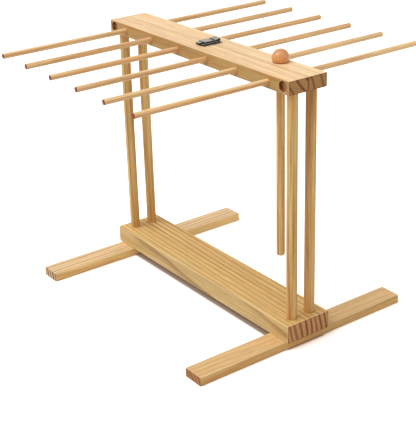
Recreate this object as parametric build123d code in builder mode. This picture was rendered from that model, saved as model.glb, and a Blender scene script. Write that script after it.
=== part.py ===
from build123d import *
import os

# Pasta drying rack of solid pine. X runs along the drying rods, Y runs along the rack,
# Z is up. The origin is on the floor, in the middle of the rack. Sizes are millimetres.

# Length of the base board. The rails stop a little short of it at both ends
rack_length = 360
rail_setback = 4

# Base board, which the two feet carry
base_width = 62
base_thickness = 22

# Feet, which lie across the ends of the base board
foot_length = 304
foot_width = 28.5
foot_thickness = 11
foot_setback = 5
foot_bevel = 3.5
finger_notch_length = 36
finger_notch_depth = 8

# Pegs, glued in the feet and pushed into the base board
peg_diameter = 8
peg_spacing = 46
peg_in_foot = 7
peg_in_base = 7

# Posts, glued in the base board and plugged into the rails
post_diameter = 12.5
post_free_height = 274
post_in_base = 14
post_in_rail = 11
post_end_distance = 14.5

# Rails, the pair of top bars that hold the rods
rail_width = 26.4
rail_height = 16
seam_gap = 0.4
storage_socket_depth = 4.5

# Drying rods, glued in the outer face of each rail
rods_per_rail = 6
rod_diameter = 6.6
rod_free_length = 170.5
rod_in_rail = 15
rod_end_distance = 36

# Transfer wand, a stick with a ball head that hangs in a hole of the right rail
wand_diameter = 10
wand_from_first_rod = 26
wand_below_rail_top = 236
wand_in_ball = 10
wand_tip_round = 1.8
ball_diameter = 20
ball_flat_cut = 5
ball_edge_round = 0.8

# Toggle latch of pressed steel sheet and wire, across the seam at mid-length
sheet = 0.9
latch_width = 20
latch_body_width = 12
latch_height = 4.3
keeper_plate_start = 13.1
keeper_plate_end = 0.6
keeper_body_start = 10.6
keeper_tongue_reach = 2
hook_reach = 3.5
hook_width = 8
fitting_sheet = 0.8
plate_start = 0.6
plate_end = 12.6
plate_corner_radius = 1.5
ear_radius = 0.7
ear_spread = 8.2
pin_diameter = 0.8
pin_head = 0.3
pin_x = 4.9
pin_height = 2.4
lever_start = 3.4
lever_end = 12
lever_boss_radius = 1.3
lever_window_start = 4
lever_window_length = 2
lever_window_width = 8.8
finger_start = 6.5
finger_rise = 1.1
wire_diameter = 1.3
bail_pivot_x = 10.5
bail_height = 2.15
bail_end_x = 14.4
bail_half_width = 7.6
bail_tip_y = 4.4
bail_end_radius = 3.5
bail_pivot_radius = 1.2

# Countersunk latch screws
screw_diameter = 1.8
screw_head_diameter = 3.4
screw_length = 8
screw_head_height = 0.8
screw_head_angle = 90
screw_x = 7
screw_y = 8
screw_slot_width = 0.5
screw_slot_depth = 0.35

# Clearances and eased edges
glue_line = 0.05
slip_clearance = 0.2
wand_clearance = 0.3
peg_end_gap = 0.5
pin_clearance = 0.05
bail_hole_clearance = 0.1
edge_ease = 0.8
seam_ease = 0.3
dowel_ease = 0.5
cut_overrun = 2

# Levels and places worked out from the sizes above
base_top = foot_thickness + base_thickness
rail_bottom = base_top + post_free_height
rail_top = rail_bottom + rail_height
rail_length = rack_length - 2 * rail_setback
rail_middle = rail_bottom + rail_height / 2
rail_x = seam_gap / 2 + rail_width / 2
rail_face = seam_gap / 2 + rail_width
post_y = rack_length / 2 - post_end_distance
foot_y = rack_length / 2 - foot_setback - foot_width / 2
rod_pitch = (rail_length - 2 * rod_end_distance) / (rods_per_rail - 1)
rod_places = [(i - (rods_per_rail - 1) / 2) * rod_pitch for i in range(rods_per_rail)]
wand_y = rod_places[0] + wand_from_first_rod
peg_places = [(-peg_spacing / 2, 0), (peg_spacing / 2, 0)]
screw_places = [(screw_x, -screw_y), (screw_x, screw_y)]

os.makedirs("parts", exist_ok=True)


def save(part, name):
    """Labels a finished piece and writes its STEP file."""
    part.label = name
    export_step(part, "parts/" + name + ".step")


def turned_dowel(plane, diameter, length, ease):
    """A round stick that starts on the plane, with both ends eased."""
    with BuildPart() as dowel:
        with BuildSketch(plane):
            Circle(diameter / 2)
        extrude(amount=length)
        chamfer(dowel.edges().filter_by(GeomType.CIRCLE), ease)
    return dowel.part


# Base board, with blind holes for the posts above and for the foot pegs below
with BuildPart() as base_board:
    with BuildSketch(Plane.XY.offset(foot_thickness)):
        Rectangle(base_width, rack_length)
    extrude(amount=base_thickness)
    fillet(base_board.edges(), edge_ease)
    with BuildSketch(Plane.XY.offset(base_top - post_in_base)):
        with GridLocations(2 * rail_x, 2 * post_y, 2, 2):
            Circle(post_diameter / 2 + glue_line)
    extrude(amount=post_in_base + cut_overrun, mode=Mode.SUBTRACT)
    with BuildSketch(Plane.XY.offset(foot_thickness - cut_overrun)):
        with GridLocations(peg_spacing, 2 * foot_y, 2, 2):
            Circle(peg_diameter / 2 + slip_clearance)
    extrude(amount=cut_overrun + peg_in_base + peg_end_gap, mode=Mode.SUBTRACT)
save(base_board.part, "base_board")


# Feet. The inner edge has a finger notch, and the far foot has a bevelled outer edge below
def make_foot(y_sign, bevelled):
    """One foot, under the end of the base board on the side that y_sign names."""
    inner_edge = y_sign * (foot_y - foot_width / 2)
    with BuildPart() as foot:
        with BuildSketch(Plane.XY):
            with Locations((0, y_sign * foot_y)):
                Rectangle(foot_length, foot_width)
        extrude(amount=foot_thickness)
        lower = foot.edges().group_by(Axis.Z)[0].filter_by(Axis.X)
        outer_edge = lower.sort_by(Axis.Y)[-1 if y_sign > 0 else 0]
        if bevelled:
            chamfer(outer_edge, foot_bevel)
        fillet(foot.faces().sort_by(Axis.Z)[-1].edges(), edge_ease)
        with BuildSketch(Plane.XY):
            with Locations((0, inner_edge)):
                Rectangle(finger_notch_length, 2 * finger_notch_depth)
        extrude(amount=foot_thickness, mode=Mode.SUBTRACT)
        with BuildSketch(Plane.XY.offset(foot_thickness - peg_in_foot)):
            with Locations((0, y_sign * foot_y)):
                with Locations(*peg_places):
                    Circle(peg_diameter / 2 + glue_line)
        extrude(amount=peg_in_foot + cut_overrun, mode=Mode.SUBTRACT)
    return foot.part


def make_pegs(y_sign):
    """The two pegs of one foot."""
    with BuildPart() as pegs:
        with BuildSketch(Plane.XY.offset(foot_thickness - peg_in_foot)):
            with Locations((0, y_sign * foot_y)):
                with Locations(*peg_places):
                    Circle(peg_diameter / 2)
        extrude(amount=peg_in_foot + peg_in_base)
        chamfer(pegs.edges().group_by(Axis.Z)[-1], dowel_ease)
    return pegs.part


for end_name, y_sign in (("near", -1), ("far", 1)):
    save(make_foot(y_sign, y_sign > 0), "foot_" + end_name)
    save(make_pegs(y_sign), "foot_pegs_" + end_name)

# Posts
post_length = post_in_base + post_free_height + post_in_rail
for end_name, y_sign in (("near", -1), ("far", 1)):
    for side_name, x_sign in (("left", -1), ("right", 1)):
        post_foot = (x_sign * rail_x, y_sign * post_y, base_top - post_in_base)
        post = turned_dowel(Plane(origin=post_foot), post_diameter, post_length, dowel_ease)
        save(post, "post_" + end_name + "_" + side_name)


# Rails
def make_rail(x_sign):
    """One top rail, with its post holes, storage sockets, rod holes and latch pilot holes."""
    outer_face = Plane.YZ.offset(x_sign * rail_face)
    with BuildPart() as rail:
        with BuildSketch(Plane.XY.offset(rail_bottom)):
            with Locations((x_sign * rail_x, 0)):
                Rectangle(rail_width, rail_length)
        extrude(amount=rail_height)
        seam_edges = rail.faces().sort_by(Axis.X)[0 if x_sign > 0 else -1].edges()
        fillet(seam_edges, seam_ease)
        outer_edges = rail.faces().sort_by(Axis.X)[-1 if x_sign > 0 else 0].edges()
        fillet(outer_edges, edge_ease)
        with BuildSketch(Plane.XY.offset(rail_bottom - cut_overrun)):
            with Locations((x_sign * rail_x, -post_y), (x_sign * rail_x, post_y)):
                Circle(post_diameter / 2 + slip_clearance)
        extrude(amount=cut_overrun + post_in_rail, mode=Mode.SUBTRACT)
        with BuildSketch(outer_face):
            with Locations((-post_y, rail_middle), (post_y, rail_middle)):
                Circle(post_diameter / 2 + slip_clearance)
        extrude(amount=-x_sign * storage_socket_depth, mode=Mode.SUBTRACT)
        with BuildSketch(outer_face):
            with Locations(*[(y, rail_middle) for y in rod_places]):
                Circle(rod_diameter / 2 + glue_line)
        extrude(amount=-x_sign * rod_in_rail, mode=Mode.SUBTRACT)
        with BuildSketch(Plane.XY.offset(rail_top + cut_overrun)):
            with Locations(*[(x_sign * x, y) for x, y in screw_places]):
                Circle(screw_diameter / 2 + glue_line)
        extrude(amount=-(cut_overrun + screw_length), mode=Mode.SUBTRACT)
        if x_sign > 0:
            with BuildSketch(Plane.XY.offset(rail_bottom - cut_overrun)):
                with Locations((rail_x, wand_y)):
                    Circle(wand_diameter / 2 + wand_clearance)
            extrude(amount=rail_height + 2 * cut_overrun, mode=Mode.SUBTRACT)
    return rail.part


for side_name, x_sign in (("left", -1), ("right", 1)):
    save(make_rail(x_sign), "rail_" + side_name)
    for number, y in enumerate(rod_places, start=1):
        rod_start = x_sign * (rail_face - rod_in_rail)
        rod_plane = Plane(origin=(rod_start, y, rail_middle), z_dir=(x_sign, 0, 0))
        rod = turned_dowel(rod_plane, rod_diameter, rod_in_rail + rod_free_length, dowel_ease)
        save(rod, "rod_" + side_name + "_" + str(number))

# Transfer wand
with BuildPart() as wand_stick:
    with BuildSketch(Plane.XY.offset(rail_top - wand_below_rail_top)):
        with Locations((rail_x, wand_y)):
            Circle(wand_diameter / 2)
    extrude(amount=wand_below_rail_top + wand_in_ball)
    fillet(wand_stick.edges().group_by(Axis.Z)[0], wand_tip_round)
save(wand_stick.part, "wand_stick")

ball_centre = (rail_x, wand_y, rail_top + ball_diameter / 2 - ball_flat_cut)
with BuildPart() as wand_ball:
    with BuildSketch(Plane(origin=ball_centre, x_dir=(1, 0, 0), z_dir=(0, -1, 0))):
        Circle(ball_diameter / 2)
        with Locations((-ball_diameter / 2, 0)):
            Rectangle(ball_diameter, 2 * ball_diameter, mode=Mode.SUBTRACT)
        with Locations((0, -ball_diameter + ball_flat_cut)):
            Rectangle(2 * ball_diameter, ball_diameter, mode=Mode.SUBTRACT)
    revolve(axis=Axis((rail_x, wand_y, 0), (0, 0, 1)))
    flat_rim = wand_ball.edges().filter_by(GeomType.CIRCLE).sort_by(Axis.Z)[0]
    fillet(flat_rim, ball_edge_round)
    with BuildSketch(Plane.XY.offset(rail_top)):
        with Locations((rail_x, wand_y)):
            Circle(wand_diameter / 2 + glue_line)
    extrude(amount=wand_in_ball + glue_line, mode=Mode.SUBTRACT)
save(wand_ball.part, "wand_ball")


# Toggle latch. Its profiles are drawn from the near side, across the seam
latch_side = Plane(origin=(0, 0, rail_top), x_dir=(1, 0, 0), z_dir=(0, -1, 0))
latch_floor = Plane.XY.offset(rail_top)
inner_width = latch_body_width - 2 * sheet
roof_bottom = latch_height - sheet


def latch_plate(x_start, x_end, x_sign):
    """The flat plate of one latch half, with rounded corners and two countersunk screw holes."""
    with BuildPart() as plate:
        with BuildSketch(latch_floor):
            with Locations(((x_start + x_end) / 2 * x_sign, 0)):
                RectangleRounded(x_end - x_start, latch_width, plate_corner_radius)
        extrude(amount=sheet)
        with Locations(latch_floor.offset(sheet)):
            with Locations(*[(x_sign * x, y) for x, y in screw_places]):
                CounterSinkHole(
                    radius=screw_diameter / 2 + glue_line,
                    counter_sink_radius=screw_head_diameter / 2 + glue_line,
                    counter_sink_angle=screw_head_angle,
                )
    return plate.part


# Keeper on the left rail: a plate, a raised body that reaches over the seam, and a hook
with BuildPart() as latch_keeper:
    add(latch_plate(keeper_plate_end, keeper_plate_start, -1))
    with BuildSketch(latch_side):
        with BuildLine():
            Polyline(
                (-keeper_body_start, 0),
                (-keeper_body_start, latch_height),
                (keeper_tongue_reach, latch_height),
                (keeper_tongue_reach, roof_bottom),
                (-keeper_plate_end, roof_bottom),
                (-keeper_plate_end, 0),
                close=True,
            )
        make_face()
    extrude(amount=latch_body_width / 2, both=True)
    with BuildSketch(latch_side):
        with Locations((-keeper_body_start / 2, (sheet + roof_bottom) / 2)):
            Rectangle(2 * keeper_body_start, roof_bottom - sheet)
    extrude(amount=inner_width / 2, both=True, mode=Mode.SUBTRACT)
    with BuildSketch(latch_side):
        with BuildLine():
            Polyline(
                (-keeper_plate_start, 0),
                (-keeper_plate_start, latch_height - fitting_sheet),
                (-keeper_plate_start - hook_reach, latch_height - fitting_sheet),
                (-keeper_plate_start - hook_reach, latch_height),
                (-keeper_plate_start + fitting_sheet, latch_height),
                (-keeper_plate_start + fitting_sheet, 0),
                close=True,
            )
        make_face()
    extrude(amount=hook_width / 2, both=True)
save(latch_keeper.part, "latch_keeper")

# Latch plate on the right rail, with two ears that hold the lever's pin
with BuildPart() as latch_base:
    add(latch_plate(plate_start, plate_end, 1))
    with BuildSketch(latch_side):
        with Locations((pin_x, pin_height / 2)):
            Rectangle(2 * ear_radius, pin_height)
        with Locations((pin_x, pin_height)):
            Circle(ear_radius)
    extrude(amount=ear_spread / 2, both=True)
    with BuildSketch(latch_side):
        with Locations((pin_x, sheet + latch_height / 2)):
            Rectangle(4 * ear_radius, latch_height)
    extrude(amount=ear_spread / 2 - fitting_sheet, both=True, mode=Mode.SUBTRACT)
    with BuildSketch(latch_side):
        with Locations((pin_x, pin_height)):
            Circle(pin_diameter / 2 + pin_clearance)
    extrude(amount=latch_width, both=True, mode=Mode.SUBTRACT)
save(latch_base.part, "latch_base")

with BuildPart() as lever_pin:
    with BuildSketch(latch_side):
        with Locations((pin_x, pin_height)):
            Circle(pin_diameter / 2)
    extrude(amount=latch_body_width / 2 + pin_head, both=True)
save(lever_pin.part, "lever_pin")

# Lever: a channel open below, with a window over the pin and a finger end that slopes up
flange_bottom = pin_height - lever_boss_radius
with BuildPart() as latch_lever:
    with BuildSketch(latch_side):
        with Locations(((pin_x + lever_end) / 2, (flange_bottom + latch_height) / 2)):
            Rectangle(lever_end - pin_x, latch_height - flange_bottom)
        with Locations((pin_x, pin_height)):
            Circle(lever_boss_radius)
        with Locations(((lever_start + lever_end) / 2, latch_height - sheet / 2)):
            Rectangle(lever_end - lever_start, sheet)
        with BuildLine():
            Polyline(
                (finger_start, roof_bottom),
                (finger_start, latch_height),
                (lever_end, latch_height + finger_rise),
                (lever_end, roof_bottom),
                close=True,
            )
        make_face()
    extrude(amount=latch_body_width / 2, both=True)
    with BuildSketch(latch_side):
        with Locations(((lever_start + lever_end) / 2, roof_bottom / 2)):
            Rectangle(2 * lever_end, roof_bottom)
        with BuildLine():
            Polyline(
                (finger_start, roof_bottom),
                (lever_end, roof_bottom + finger_rise),
                (lever_end, roof_bottom),
                close=True,
            )
        make_face()
    extrude(amount=inner_width / 2, both=True, mode=Mode.SUBTRACT)
    with BuildSketch(latch_floor):
        with Locations((lever_window_start + lever_window_length / 2, 0)):
            Rectangle(lever_window_length, lever_window_width)
    extrude(amount=latch_height + cut_overrun, mode=Mode.SUBTRACT)
    with BuildSketch(latch_side):
        with Locations((pin_x, pin_height)):
            Circle(pin_diameter / 2 + pin_clearance)
        with Locations((bail_pivot_x, bail_height)):
            Circle(wire_diameter / 2 + bail_hole_clearance)
    extrude(amount=latch_width, both=True, mode=Mode.SUBTRACT)
save(latch_lever.part, "latch_lever")

# Bail: a wire loop from the lever round the hook
wire_start = (bail_pivot_x, -bail_tip_y, rail_top + bail_height)
bail_corners = [
    (bail_pivot_x, -bail_tip_y),
    (bail_pivot_x, -bail_half_width),
    (-bail_end_x, -bail_half_width),
    (-bail_end_x, bail_half_width),
    (bail_pivot_x, bail_half_width),
    (bail_pivot_x, bail_tip_y),
]
bail_radii = [bail_pivot_radius, bail_end_radius, bail_end_radius, bail_pivot_radius]
with BuildPart() as latch_bail:
    with BuildLine(latch_floor.offset(bail_height)) as bail_route:
        FilletPolyline(*bail_corners, radius=bail_radii)
    with BuildSketch(Plane(origin=wire_start, z_dir=(0, -1, 0))):
        Circle(wire_diameter / 2)
    sweep(path=bail_route.wire())
save(latch_bail.part, "latch_bail")


def make_screws(x_sign):
    """The two countersunk screws of one latch half."""
    head_top = rail_top + sheet
    with BuildPart() as screws:
        for x, y in screw_places:
            with Locations((x_sign * x, y, head_top)):
                Cone(
                    screw_diameter / 2,
                    screw_head_diameter / 2,
                    screw_head_height,
                    align=(Align.CENTER, Align.CENTER, Align.MAX),
                )
                Cylinder(
                    screw_diameter / 2,
                    screw_length,
                    align=(Align.CENTER, Align.CENTER, Align.MAX),
                )
                Box(
                    screw_head_diameter,
                    screw_slot_width,
                    2 * screw_slot_depth,
                    mode=Mode.SUBTRACT,
                )
    return screws.part


for side_name, x_sign in (("keeper", -1), ("base", 1)):
    save(make_screws(x_sign), "latch_" + side_name + "_screws")
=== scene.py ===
"""Looks of a wooden drying rack with two lift-off rails, side rods, a toggle latch and a wand."""

import logging
import math
from collections.abc import Callable
from dataclasses import dataclass, replace
from enum import Enum

import bmesh
import bpy
from mathutils import Matrix, Vector


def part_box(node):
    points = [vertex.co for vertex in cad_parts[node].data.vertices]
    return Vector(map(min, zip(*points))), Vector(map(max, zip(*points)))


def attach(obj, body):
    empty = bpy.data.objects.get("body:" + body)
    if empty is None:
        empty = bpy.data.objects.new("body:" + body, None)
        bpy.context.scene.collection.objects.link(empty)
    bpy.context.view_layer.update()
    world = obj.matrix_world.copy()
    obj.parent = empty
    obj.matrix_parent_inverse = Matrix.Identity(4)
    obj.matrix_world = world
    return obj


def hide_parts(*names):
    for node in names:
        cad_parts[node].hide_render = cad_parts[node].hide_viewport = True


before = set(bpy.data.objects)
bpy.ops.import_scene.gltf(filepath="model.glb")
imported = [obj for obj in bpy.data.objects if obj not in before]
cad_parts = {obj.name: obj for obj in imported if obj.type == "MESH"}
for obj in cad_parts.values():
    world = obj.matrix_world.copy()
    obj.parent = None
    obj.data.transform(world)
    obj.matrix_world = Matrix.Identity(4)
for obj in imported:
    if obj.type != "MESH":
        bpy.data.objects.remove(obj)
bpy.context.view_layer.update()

log = logging.getLogger("rack")
MM = 0.001
UP = Vector((0, 0, 1))
Colour = tuple[float, float, float, float]
Number = "float | Value"


class Axis(Enum):
    """A direction that grain or a stick can run in."""

    X = 0
    Y = 1
    Z = 2


class Side(Enum):
    """The two rails, by the sign of their x."""

    LEFT = -1
    RIGHT = 1


class End(Enum):
    """The two ends of the rack, by the sign of their y."""

    NEAR = -1
    FAR = 1


def colour(red: int, green: int, blue: int) -> Colour:
    """Turns a colour of the screen into the linear one that shaders use.

    Args:
        red: Its red channel, 0 to 255.
        green: Its green channel.
        blue: Its blue channel.

    Returns:
        The linear colour, opaque.
    """
    shares = [channel / 255 for channel in (red, green, blue)]
    linear = [c / 12.92 if c <= 0.04045 else ((c + 0.055) / 1.055) ** 2.4 for c in shares]
    return (*linear, 1.0)


# Node trees


class Value:
    """A socket that takes part in Python sums: each sum adds its Math node."""

    def __init__(self, craft: "NodeCraft", socket: bpy.types.NodeSocket) -> None:
        """Keeps the socket and the tree that it belongs to."""
        self.craft = craft
        self.socket = socket

    def __add__(self, other: Number) -> "Value":
        """Sum."""
        return self.craft.math("ADD", self, other)

    def __sub__(self, other: Number) -> "Value":
        """Difference."""
        return self.craft.math("SUBTRACT", self, other)

    def __rsub__(self, other: Number) -> "Value":
        """Difference from a number."""
        return self.craft.math("SUBTRACT", other, self)

    def __mul__(self, other: Number) -> "Value":
        """Product."""
        return self.craft.math("MULTIPLY", self, other)

    def __truediv__(self, other: Number) -> "Value":
        """Quotient."""
        return self.craft.math("DIVIDE", self, other)

    __radd__ = __add__
    __rmul__ = __mul__

    def other(self, identifier: str) -> "Value":
        """Another output of the same node."""
        node = self.socket.node
        return Value(self.craft, next(s for s in node.outputs if s.identifier == identifier))


class NodeCraft:
    """One node tree and the ways of adding nodes to it."""

    def __init__(self, tree: bpy.types.NodeTree) -> None:
        """Keeps the tree."""
        self.tree = tree

    def node(self, kind: str, settings: dict | None = None, inputs: dict | None = None,
             output: str | None = None) -> Value:
        """Adds a node.

        Args:
            kind: The node's type.
            settings: Its properties, set first; "stops" holds a ramp's positions and colours.
            inputs: A value or link for each of its sockets, by the socket's identifier.
            output: The identifier of the output to take, or None for the first.

        Returns:
            The output.
        """
        node = self.tree.nodes.new(kind)
        for name, setting in (settings or {}).items():
            if name == "stops":
                self.set_stops(node.color_ramp, setting)
            else:
                setattr(node, name, setting)
        for name, value in (inputs or {}).items():
            socket = next(s for s in node.inputs if s.identifier == name)
            if isinstance(value, Value):
                self.tree.links.new(value.socket, socket)
            else:
                socket.default_value = value
        if not node.outputs:
            return Value(self, node.inputs[0])
        wanted = node.outputs[0] if output is None else None
        return Value(self, wanted or next(s for s in node.outputs if s.identifier == output))

    @staticmethod
    def set_stops(ramp: bpy.types.ColorRamp, stops: list[tuple[float, Colour]]) -> None:
        """Gives a colour ramp its stops.

        Args:
            ramp: The ramp.
            stops: The position and the colour of each stop.
        """
        while len(ramp.elements) < len(stops):
            ramp.elements.new(1.0)
        for element, (position, shade) in zip(ramp.elements, stops):
            element.position = position
            element.color = shade

    def math(self, operation: str, first: Number, second: Number = 0.0) -> Value:
        """Adds a Math node of one or two values."""
        return self.node("ShaderNodeMath", {"operation": operation},
                         {"Value": first, "Value_001": second})

    def vector(self, operation: str, first: "Value | tuple", second: "Value | tuple") -> Value:
        """Adds a Vector Math node of two vectors."""
        return self.node("ShaderNodeVectorMath", {"operation": operation},
                         {"Vector": first, "Vector_001": second})

    def scaled(self, vector: "Value | tuple", factor: Number) -> Value:
        """A vector times a number."""
        return self.node("ShaderNodeVectorMath", {"operation": "SCALE"},
                         {"Vector": vector, "Scale": factor})

    def combine(self, x: Number, y: Number, z: Number) -> Value:
        """A vector of three numbers."""
        return self.node("ShaderNodeCombineXYZ", None, {"X": x, "Y": y, "Z": z})

    def separate(self, vector: Value) -> tuple[Value, Value, Value]:
        """The three numbers of a vector."""
        x = self.node("ShaderNodeSeparateXYZ", None, {"Vector": vector})
        return x, x.other("Y"), x.other("Z")

    def step(self, value: Number, low: float, high: float) -> Value:
        """A smooth rise of a value, from 0 at low to 1 at high."""
        return self.node("ShaderNodeMapRange", {"interpolation_type": "SMOOTHSTEP"},
                         {"Value": value, "From Min": low, "From Max": high})


class Surface(NodeCraft):
    """A material in the making: its tree, its textures and its shader."""

    def __init__(self, name: str) -> None:
        """Starts an empty material.

        Args:
            name: Its name.
        """
        self.material = bpy.data.materials.new(name)
        self.material.use_nodes = True
        super().__init__(self.material.node_tree)
        self.tree.nodes.clear()

    def place(self) -> Value:
        """The point in the object's own coordinates."""
        return self.node("ShaderNodeTexCoord", output="Object")

    def facing(self) -> Value:
        """The surface normal in the object's own coordinates."""
        return self.node("ShaderNodeTexCoord", output="Normal")

    def attribute(self, name: str, output: str = "Fac") -> Value:
        """A value that the mesh carries."""
        return self.node("ShaderNodeAttribute", {"attribute_name": name}, output=output)

    def noise(self, vector: Value, detail: float = 2.0, rough: float = 0.5) -> Value:
        """Fractal noise from 0 to 1, of about one cycle a unit of the vector."""
        return self.node("ShaderNodeTexNoise", None,
                         {"Vector": vector, "Scale": 1.0, "Detail": detail, "Roughness": rough},
                         "Fac")

    def chance(self, value: Value) -> Value:
        """A random number for each value."""
        return self.node("ShaderNodeTexWhiteNoise", {"noise_dimensions": "1D"}, {"W": value})

    def mix(self, share: Number, first: "Value | Colour", second: "Value | Colour",
            blend: str = "MIX") -> Value:
        """Mixes two colours."""
        return self.node("ShaderNodeMix", {"data_type": "RGBA", "blend_type": blend},
                         {"Factor_Float": share, "A_Color": first, "B_Color": second},
                         "Result_Color")

    def bump(self, height: Value, strength: float, distance: float) -> Value:
        """A normal tilted by a height."""
        return self.node("ShaderNodeBump", None,
                         {"Height": height, "Strength": strength, "Distance": distance})

    def finish(self, inputs: dict) -> bpy.types.Material:
        """Adds the shader.

        Args:
            inputs: A value or link for each of its sockets, by the socket's identifier.

        Returns:
            The finished material.
        """
        shader = self.node("ShaderNodeBsdfPrincipled", None, inputs)
        self.node("ShaderNodeOutputMaterial", None, {"Surface": shader})
        return self.material


class GeometryTree(NodeCraft):
    """A Geometry Nodes tree with named inputs, which ends as a plain mesh.

    Attributes:
        cap: The part of a unit normal along the cap's axis from which a face belongs to a cap.
    """

    cap = 0.98

    def __init__(self, name: str) -> None:
        """Starts a tree with a geometry output.

        Args:
            name: Its name.
        """
        super().__init__(bpy.data.node_groups.new(name, "GeometryNodeTree"))
        self.tree.interface.new_socket("Geometry", in_out="OUTPUT",
                                       socket_type="NodeSocketGeometry")
        self.group_input = self.tree.nodes.new("NodeGroupInput")
        self.identifiers: dict[str, str] = {}

    def input(self, name: str, kind: str) -> Value:
        """Adds a named input.

        Args:
            name: Its name.
            kind: Its kind, such as Float, Int, Vector or Material.

        Returns:
            The input, as a value inside the tree.
        """
        item = self.tree.interface.new_socket(name, in_out="INPUT",
                                              socket_type="NodeSocket" + kind)
        self.identifiers[name] = item.identifier
        sockets = self.group_input.outputs
        return Value(self, next(s for s in sockets if s.identifier == item.identifier))

    def index(self) -> Value:
        """The number of the element."""
        return self.node("GeometryNodeInputIndex")

    def raised(self, mesh: Value, height: Value) -> Value:
        """Moves a mesh up, or down where the height is negative."""
        return self.node("GeometryNodeTransform", None,
                         {"Geometry": mesh, "Translation": self.combine(0.0, 0.0, height)})

    def join(self, *parts: Value) -> Value:
        """Joins geometries.

        Args:
            parts: The geometries.

        Returns:
            All of them as one.
        """
        node = self.tree.nodes.new("GeometryNodeJoinGeometry")
        for part in parts:
            self.tree.links.new(part.socket, node.inputs[0])
        return Value(self, node.outputs[0])

    def tube(self, points: int, steps: int, position: Value, corner: Value | None,
             radius: Value, sides: int) -> Value:
        """A closed tube along points whose places follow from their number.

        Args:
            points: The number of points.
            steps: The steps of each rounded corner.
            position: The place of each point, as a field on its number.
            corner: The radius of the rounding at each point, or None.
            radius: The tube's radius at each point.
            sides: The number of faces round the tube.

        Returns:
            The tube's mesh.
        """
        line = self.node("GeometryNodeMeshLine", None, {"Count": points})
        line = self.node("GeometryNodeSetPosition", None, {"Geometry": line, "Position": position})
        curve = self.node("GeometryNodeMeshToCurve", None, {"Mesh": line})
        if corner is not None:
            curve = self.node("GeometryNodeFilletCurve", {"mode": "POLY"},
                              {"Curve": curve, "Count": steps, "Radius": corner})
        ring = self.node("GeometryNodeCurvePrimitiveCircle", None,
                         {"Resolution": sides, "Radius": 1.0})
        return self.node("GeometryNodeCurveToMesh", None,
                         {"Curve": curve, "Profile Curve": ring, "Scale": radius,
                          "Fill Caps": True})

    def smooth_sides(self, mesh: Value, cap_axis: tuple[float, float, float]) -> Value:
        """Shades a mesh smooth, apart from its flat caps.

        Args:
            mesh: The mesh.
            cap_axis: The axis to which the caps are square.

        Returns:
            The shaded mesh.
        """
        normal = self.node("GeometryNodeInputNormal")
        along = self.node("ShaderNodeVectorMath", {"operation": "DOT_PRODUCT"},
                          {"Vector": normal, "Vector_001": cap_axis}, "Value")
        side = self.math("LESS_THAN", self.math("ABSOLUTE", along), self.cap)
        return self.node("GeometryNodeSetShadeSmooth", None,
                         {"Geometry": mesh, "Shade Smooth": side})

    def close(self, geometry: Value, material: Value) -> None:
        """Ends the tree: instances made real, material set.

        Args:
            geometry: What the tree has made.
            material: The material's input.
        """
        real = self.node("GeometryNodeRealizeInstances", None, {"Geometry": geometry})
        done = self.node("GeometryNodeSetMaterial", None, {"Geometry": real, "Material": material})
        group_output = self.tree.nodes.new("NodeGroupOutput")
        self.tree.links.new(done.socket, group_output.inputs[0])

    def make(self, name: str, values: dict) -> bpy.types.Object:
        """Runs the tree.

        Args:
            name: The piece's name.
            values: The values of the tree's inputs, by their names.

        Returns:
            The piece, as a plain mesh.
        """
        piece = add_object(name, bpy.data.meshes.new(name))
        modifier = piece.modifiers.new("tree", "NODES")
        modifier.node_group = self.tree
        for input_name, value in values.items():
            modifier[self.identifiers[input_name]] = value
        settle(piece)
        return piece


# Meshes


WELD = 0.001 * MM
BREAK_STEPS = 2
ROUND_PROFILE = 0.5


def add_object(name: str, mesh: bpy.types.Mesh) -> bpy.types.Object:
    """Puts a mesh in the scene.

    Args:
        name: The object's name.
        mesh: Its mesh.

    Returns:
        The object, at the origin.
    """
    piece = bpy.data.objects.new(name, mesh)
    bpy.context.scene.collection.objects.link(piece)
    return piece


def settle(piece: bpy.types.Object) -> None:
    """Turns a piece's modifiers into plain mesh.

    Args:
        piece: The piece, whose mesh takes its name.
    """
    bpy.context.view_layer.update()
    graph = bpy.context.evaluated_depsgraph_get()
    mesh = bpy.data.meshes.new_from_object(piece.evaluated_get(graph), depsgraph=graph)
    piece.modifiers.clear()
    piece.data = mesh
    mesh.name = piece.name


def from_bmesh(name: str, bm: bmesh.types.BMesh) -> bpy.types.Object:
    """Makes an object of a bmesh.

    Args:
        name: The object's name.
        bm: The bmesh, which is freed.

    Returns:
        The object.
    """
    mesh = bpy.data.meshes.new(name)
    bm.to_mesh(mesh)
    bm.free()
    return add_object(name, mesh)


def shade(piece: bpy.types.Object, angle_deg: float = 35.0) -> None:
    """Shades a piece smooth, with its flat faces kept flat.

    Args:
        piece: The piece.
        angle_deg: The turn from which an edge stays sharp.
    """
    piece.data.shade_smooth()
    piece.data.set_sharp_from_angle(angle=math.radians(angle_deg))
    weighted = piece.modifiers.new("weighted", "WEIGHTED_NORMAL")
    weighted.keep_sharp = True
    settle(piece)


def place_piece(piece: bpy.types.Object, body: str, slot: str, *nodes: str) -> None:
    """Rides a finished piece on its body and reports it.

    Args:
        piece: The piece.
        body: The body that carries it.
        slot: The slot of its finish; not used.
        nodes: The solids that it stands for.
    """
    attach(piece, body)
    if nodes:
        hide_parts(*nodes)
    log.info("%s rides on %s, %d faces", piece.name, body, len(piece.data.polygons))


def half_width(node: str) -> float:
    """Half the size of a solid across y, which is the radius of a round stick."""
    low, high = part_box(node)
    return (high.y - low.y) / 2


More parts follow.
